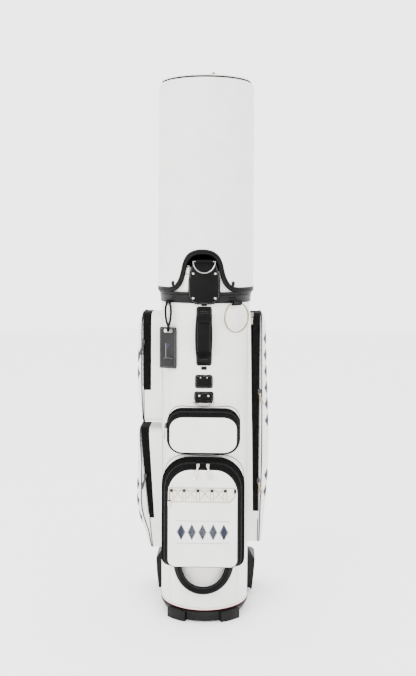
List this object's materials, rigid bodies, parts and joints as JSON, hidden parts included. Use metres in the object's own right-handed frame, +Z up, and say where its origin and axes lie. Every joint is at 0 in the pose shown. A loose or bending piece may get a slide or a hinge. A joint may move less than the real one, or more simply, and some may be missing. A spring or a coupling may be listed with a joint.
{
  "type": "golf staff bag",
  "caption": "Upright golf staff bag: stiff round body, zipped pockets, carry handles, rear wheels, metal rings, and a lift-off rigid travel hood with a hinged lid.",
  "frame": {"origin": "on the floor under the centre line of the bag, centre of the flat pad moulded under the base", "axes": "+Z up along the bag; the front with the carry handle and large pocket faces -Y; the full-length pocket is on +X"},
  "size_m": [0.3145, 0.3318, 1.2676],
  "materials": {
    "white_leather": "satin",
    "black_leather": "satin",
    "black_plastic": "satin",
    "white_shell": "satin",
    "webbing": "matte",
    "chrome": "polished",
    "tag_rubber": "matte",
    "grey_lining": "matte",
    "tube_plastic": "matte",
    "tyre": "matte",
    "cream_lace": "satin"
  },
  "bodies": {
    "bag": {"base_shell": "black_plastic", "axle": "chrome", "wheel_housing_left": "black_plastic", "wheel_housing_right": "black_plastic", "body_skin": "white_leather", "body_tube": "tube_plastic", "base_board": "grey_lining", "collar_ring": "black_plastic", "cuff": "white_leather", "divider_top": "black_plastic", "divider_walls": "grey_lining", "handle_patch": "black_leather", "patch_rivet_upper_left": "chrome", "patch_rivet_upper_right": "chrome", "patch_rivet_lower_left": "chrome", "patch_rivet_lower_right": "chrome", "carry_handle": "black_leather", "upper_tab": "black_leather", "tab_stud_left": "chrome", "tab_stud_right": "chrome", "lower_tab": "black_leather", "tab_rivet_left": "chrome", "tab_rivet_right": "chrome", "towel_loop": "webbing", "tag_loop": "webbing", "bottom_handle": "black_leather", "front_lower_pocket": "white_leather", "front_upper_pocket": "white_leather", "left_upper_pocket": "white_leather", "left_lower_pocket": "white_leather", "right_pocket": "white_leather"},
    "luggage_tag": {"tag_strap": "black_leather", "luggage_tag": "tag_rubber"},
    "front_lower_cover": {"front_lower_cover": "white_leather", "lace_panel": "cream_lace"},
    "hood": {"hood_shell": "white_shell", "hood_binding": "black_leather", "hood_snap_left": "black_plastic", "hood_snap_right": "black_plastic"},
    "wheel_left": {"wheel_left": "tyre"},
    "wheel_right": {"wheel_right": "tyre"},
    "patch_ring": {"patch_ring": "chrome"},
    "lower_ring": {"lower_ring": "chrome"},
    "towel_ring": {"towel_ring": "chrome"},
    "front_upper_cover": {"front_upper_cover": "white_leather"},
    "left_upper_cover": {"left_upper_cover": "white_leather"},
    "left_lower_cover": {"left_lower_cover": "white_leather"},
    "right_cover": {"right_cover": "white_leather"},
    "front_lower_pull_left": {"front_lower_pull_left": "chrome"},
    "front_lower_pull_right": {"front_lower_pull_right": "chrome"},
    "front_upper_pull": {"front_upper_pull": "chrome"},
    "left_upper_pull": {"left_upper_pull": "chrome"},
    "left_lower_pull": {"left_lower_pull": "chrome"},
    "right_upper_pull": {"right_upper_pull": "chrome"},
    "right_lower_pull": {"right_lower_pull": "chrome"},
    "hood_lid": {"hood_lid": "white_shell"},
    "lid_pull": {"lid_pull": "chrome"}
  },
  "joints": [
    {"name": "wheel_left_spin", "type": "hinge", "parent": "bag", "child": "wheel_left", "pos_m": [-0.0995, 0.1115, 0.049], "axis": [1, 0, 0], "continuous": true},
    {"name": "wheel_right_spin", "type": "hinge", "parent": "bag", "child": "wheel_right", "pos_m": [0.0995, 0.1115, 0.049], "axis": [1, 0, 0], "continuous": true},
    {"name": "hood_lift", "type": "slide", "parent": "bag", "child": "hood", "axis": [0, 0, 1], "range_m": [0, 0.15]},
    {"name": "lid_open", "type": "hinge", "parent": "hood", "child": "hood_lid", "pos_m": [0, 0.1145, 1.2578], "axis": [-1, 0, 0], "range_deg": [0, 110]},
    {"name": "lid_zip_travel", "type": "hinge", "parent": "hood_lid", "child": "lid_pull", "pos_m": [0, 0, 1.2623], "axis": [0, 0, 1], "range_deg": [-160, 150]},
    {"name": "patch_ring_swing", "type": "hinge", "parent": "bag", "child": "patch_ring", "pos_m": [0, -0.1172, 0.83], "axis": [-1, 0, 0], "range_deg": [0, 150]},
    {"name": "lower_ring_swing", "type": "hinge", "parent": "bag", "child": "lower_ring", "pos_m": [0, -0.1092, 0.508], "axis": [-1, 0, 0], "range_deg": [0, 120]},
    {"name": "towel_ring_swing", "type": "hinge", "parent": "bag", "child": "towel_ring", "pos_m": [0.07456, -0.08886, 0.734], "axis": [-0.766, -0.6428, 0], "range_deg": [0, 100]},
    {"name": "tag_swing", "type": "hinge", "parent": "bag", "child": "luggage_tag", "pos_m": [-0.08484, -0.07911, 0.734], "axis": [-0.682, 0.7314, 0], "range_deg": [0, 60]},
    {"name": "front_lower_cover_fold", "type": "hinge", "parent": "bag", "child": "front_lower_cover", "pos_m": [0, -0.1283, 0.14], "axis": [1, 0, 0], "range_deg": [0, 85]},
    {"name": "front_upper_cover_fold", "type": "hinge", "parent": "bag", "child": "front_upper_cover", "pos_m": [0, -0.1223, 0.392], "axis": [1, 0, 0], "range_deg": [0, 50]},
    {"name": "left_upper_cover_fold", "type": "hinge", "parent": "bag", "child": "left_upper_cover", "pos_m": [-0.1478, 0.0275, 0.444], "axis": [0, -1, 0], "range_deg": [0, 75]},
    {"name": "left_lower_cover_fold", "type": "hinge", "parent": "bag", "child": "left_lower_cover", "pos_m": [-0.1235, 0.0275, 0.142], "axis": [0, -1, 0], "range_deg": [0, 85]},
    {"name": "right_cover_fold", "type": "hinge", "parent": "bag", "child": "right_cover", "pos_m": [0.1274, 0.0275, 0.159], "axis": [0, 1, 0], "range_deg": [0, 85]},
    {"name": "front_lower_zip_left", "type": "slide", "parent": "front_lower_cover", "child": "front_lower_pull_left", "axis": [1, 0, 0], "range_m": [-0.02, 0.005]},
    {"name": "front_lower_zip_right", "type": "slide", "parent": "front_lower_cover", "child": "front_lower_pull_right", "axis": [1, 0, 0], "range_m": [-0.005, 0.02]},
    {"name": "front_upper_zip", "type": "slide", "parent": "front_upper_cover", "child": "front_upper_pull", "axis": [0, 0, 1], "range_m": [-0.015, 0.006]},
    {"name": "left_upper_zip", "type": "slide", "parent": "bag", "child": "left_upper_pull", "axis": [-0.01, 0, 1], "range_m": [-0.1, 0.028]},
    {"name": "left_lower_zip", "type": "slide", "parent": "bag", "child": "left_lower_pull", "axis": [-0.1071, 0, 0.9943], "range_m": [-0.09, 0.075]},
    {"name": "right_zip_upper", "type": "slide", "parent": "bag", "child": "right_upper_pull", "axis": [0.0068, 0, 1], "range_m": [-0.08, 0.14]},
    {"name": "right_zip_lower", "type": "slide", "parent": "bag", "child": "right_lower_pull", "axis": [0.0068, 0, 1], "range_m": [-0.08, 0.075]}
  ]
}
